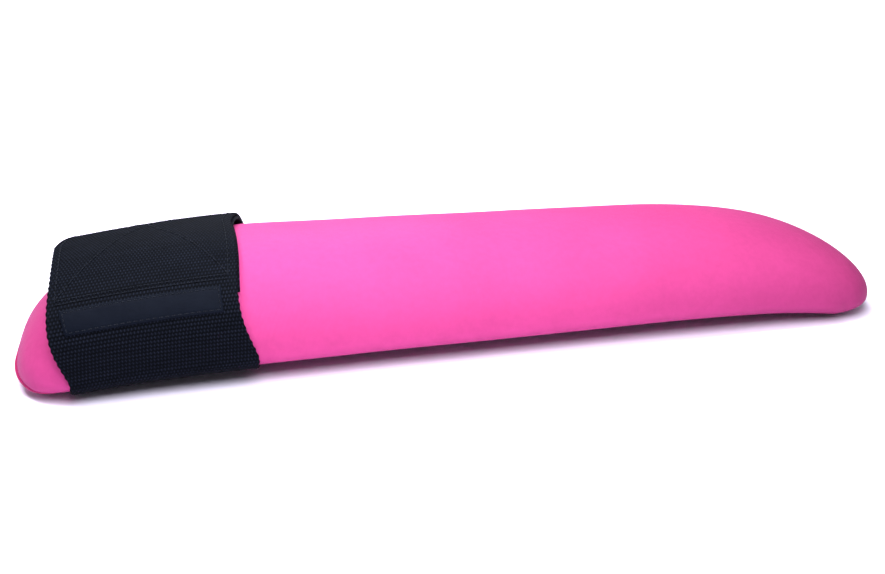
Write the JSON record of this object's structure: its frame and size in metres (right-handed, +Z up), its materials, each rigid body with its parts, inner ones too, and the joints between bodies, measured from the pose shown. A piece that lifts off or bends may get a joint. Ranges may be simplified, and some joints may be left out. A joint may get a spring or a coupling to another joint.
{
  "type": "foot arch stretcher",
  "caption": "Long padded arch with a D-shaped section, covered in stretch fabric, with a wide webbing band round its nose that holds the toes down.",
  "frame": {"origin": "on the floor under the middle of the body", "axes": "+X along the body from the banded nose to the tail, +Z up, -Y towards the side with the label"},
  "size_m": [0.5018, 0.1315, 0.0742],
  "materials": {
    "board": "satin",
    "firm_foam": "matte",
    "soft_foam": "matte",
    "cover_fabric": "matte",
    "seam_binding": "matte",
    "webbing": "satin",
    "thread": "satin",
    "label": "satin"
  },
  "bodies": {
    "body": {"core_board": "board", "foam_block": "firm_foam", "foam_topper": "soft_foam", "cover_top_panel": "cover_fabric", "cover_base_panel": "cover_fabric", "seam_binding": "seam_binding"},
    "band": {"band_webbing": "webbing", "box_cross_stitch": "thread", "blank_label": "label", "label_stitch": "thread"}
  },
  "joints": [
    {"name": "band_slide", "type": "slide", "parent": "body", "child": "band", "axis": [1, 0, 0], "range_m": [0, 0.025]}
  ]
}
